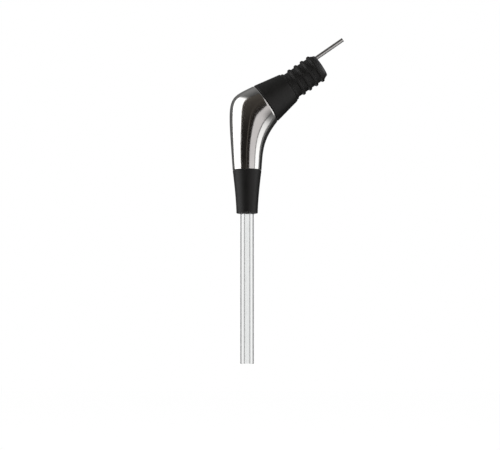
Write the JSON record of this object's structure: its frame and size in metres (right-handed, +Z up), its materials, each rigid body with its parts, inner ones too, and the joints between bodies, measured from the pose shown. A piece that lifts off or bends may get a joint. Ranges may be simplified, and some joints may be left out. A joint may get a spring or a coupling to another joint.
{
  "type": "wine pourer",
  "caption": "Bottle pourer with a finned black stopper, a bent polished steel body that swivels on it, and a soft flared nozzle holding a long straight clear pouring tube.",
  "frame": {"origin": "on the stopper's axis, in the plane of the shoulder that rests on the bottle's mouth", "axes": "+Z up in the pouring pose, so the tube hangs along -Z; the stopper's axis lies in the XZ plane and rises 35 degrees towards +X; the part is the same on both sides of Y = 0"},
  "size_m": [0.075, 0.0278, 0.213],
  "materials": {
    "black_silicone": "soft matt black silicone",
    "seal_rubber": "black seal rubber",
    "black_plastic": "moulded black plastic",
    "polished_steel": "mirror polished stainless steel",
    "small_steel": "drawn stainless steel",
    "milky_silicone": "translucent silicone hose",
    "clear_acrylic": "clear extruded acrylic"
  },
  "bodies": {
    "stopper": {"neck_stopper": "black_silicone", "stopper_core": "black_plastic", "valve_seat": "small_steel", "air_tube": "small_steel", "strainer_disc": "small_steel", "strainer_ring": "small_steel", "swivel_seal": "seal_rubber"},
    "check_ball": {"check_ball": "small_steel"},
    "spout": {"steel_body": "polished_steel", "inlet_bush": "black_plastic", "snap_ring": "small_steel", "flow_hose": "milky_silicone", "upper_hose_clip": "small_steel", "lower_hose_clip": "small_steel", "outlet_collar": "black_plastic"},
    "nozzle": {"nozzle_sleeve": "black_silicone", "tube_holder": "black_plastic", "holder_seal": "seal_rubber", "tube_seals": "seal_rubber"},
    "pour_tube": {"pour_tube": "clear_acrylic"}
  },
  "joints": [
    {"name": "spout_swivel", "type": "hinge", "parent": "stopper", "child": "spout", "pos_m": [-0.01638, 0, -0.01147], "axis": [0.8192, 0, 0.5736], "continuous": true},
    {"name": "check_ball_lift", "type": "slide", "parent": "stopper", "child": "check_ball", "axis": [0.8192, 0, 0.5736], "range_m": [0, 0.002]},
    {"name": "nozzle_pull", "type": "slide", "parent": "spout", "child": "nozzle", "axis": [0, 0, -1], "range_m": [0, 0.012]},
    {"name": "tube_pull", "type": "slide", "parent": "nozzle", "child": "pour_tube", "axis": [0, 0, -1], "range_m": [0, 0.026]}
  ]
}
